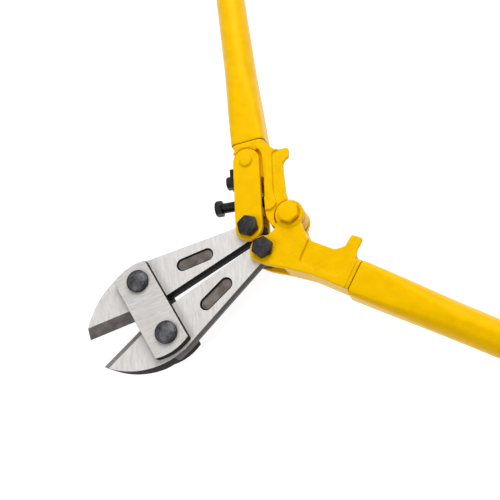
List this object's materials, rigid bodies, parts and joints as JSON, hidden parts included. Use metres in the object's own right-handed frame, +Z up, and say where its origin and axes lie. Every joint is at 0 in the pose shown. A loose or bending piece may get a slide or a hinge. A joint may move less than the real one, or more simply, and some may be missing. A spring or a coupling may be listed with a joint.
{
  "type": "bolt cutters",
  "caption": "Compound-lever bolt cutters with two pinned jaws between side plates, cast toggles, an adjustable link and tubular handles with ribbed grips.",
  "frame": {"origin": "on the axis of the centre pivot, on the plane of the rear nut faces that the tool lies on", "axes": "+Z up along the pivots' axes; +Y across the tool, towards the upper handle; -X towards the blades"},
  "size_m": [0.3161, 0.5909, 0.0348],
  "materials": {
    "plate_steel": "satin, ground, with a fine grain across the plate",
    "jaw_steel": "ground faces, dark heat-treated edges and bevels",
    "black_oxide": "black oxide, satin",
    "yellow_enamel": "semi-gloss enamel over cast and drawn metal",
    "grip_rubber": "matt, ribbed"
  },
  "bodies": {
    "head": {"side_plate_front": "plate_steel", "side_plate_rear": "plate_steel", "jaw_pin_upper": "black_oxide", "jaw_pin_lower": "black_oxide", "jaw_pin_nuts": "black_oxide"},
    "upper_jaw": {"jaw_upper": "jaw_steel"},
    "lower_jaw": {"jaw_lower": "jaw_steel"},
    "link": {"link_plate_front": "yellow_enamel", "link_plate_rear": "yellow_enamel", "adjuster_block": "yellow_enamel", "toggle_bolt_upper": "black_oxide", "toggle_washer_upper": "black_oxide", "toggle_nut_upper": "black_oxide"},
    "adjusting_screw": {"adjusting_screw": "black_oxide"},
    "locking_screw": {"locking_screw": "black_oxide", "locking_plate": "black_oxide"},
    "upper_handle": {"upper_casting": "yellow_enamel", "link_rivet": "yellow_enamel", "upper_tube": "yellow_enamel", "upper_grip": "grip_rubber"},
    "lower_handle": {"lower_casting": "yellow_enamel", "lower_tube": "yellow_enamel", "lower_grip": "grip_rubber", "toggle_bolt_lower": "black_oxide", "toggle_washer_lower": "black_oxide", "toggle_nut_lower": "black_oxide", "centre_bolt": "yellow_enamel", "centre_washer": "yellow_enamel", "centre_nut": "yellow_enamel"}
  },
  "joints": [
    {"name": "upper_jaw_pivot", "type": "hinge", "parent": "head", "child": "upper_jaw", "pos_m": [-0.10756, 0.02154, 0.0174], "axis": [0, 0, 1], "range_deg": [0, 13.2]},
    {"name": "lower_jaw_pivot", "type": "hinge", "parent": "head", "child": "lower_jaw", "pos_m": [-0.10756, -0.02046, 0.0174], "axis": [0, 0, 1], "range_deg": [-11.9, 0]},
    {"name": "handle_closing", "type": "hinge", "parent": "lower_jaw", "child": "lower_handle", "pos_m": [-0.02627, -0.00968, 0.0174], "axis": [0, 0, 1], "range_deg": [0, 68.11]},
    {"name": "upper_toggle_pivot", "type": "hinge", "parent": "upper_jaw", "child": "link", "pos_m": [-0.02654, 0.00893, 0.0174], "axis": [0, 0, 1], "range_deg": [-71.05, 0]},
    {"name": "link_adjustment", "type": "hinge", "parent": "link", "child": "upper_handle", "pos_m": [-0.00398, 0.05084, 0.0174], "axis": [0, 0, 1], "range_deg": [-0.4, 0.8]},
    {"name": "adjusting_screw_travel", "type": "slide", "parent": "link", "child": "adjusting_screw", "axis": [-0.8805, 0.474, 0], "range_m": [-0.0004, 0.0002]},
    {"name": "locking_screw_travel", "type": "slide", "parent": "upper_handle", "child": "locking_screw", "axis": [-0.8805, 0.474, 0], "range_m": [0, 0.003]}
  ],
  "couplings": [
    {"joint": "upper_jaw_pivot", "follows": "handle_closing", "ratio": 0.1938},
    {"joint": "lower_jaw_pivot", "follows": "handle_closing", "ratio": -0.17471},
    {"joint": "upper_toggle_pivot", "follows": "handle_closing", "ratio": -1.0431},
    {"joint": "adjusting_screw_travel", "follows": "link_adjustment", "m_per_rad": -0.0274}
  ]
}
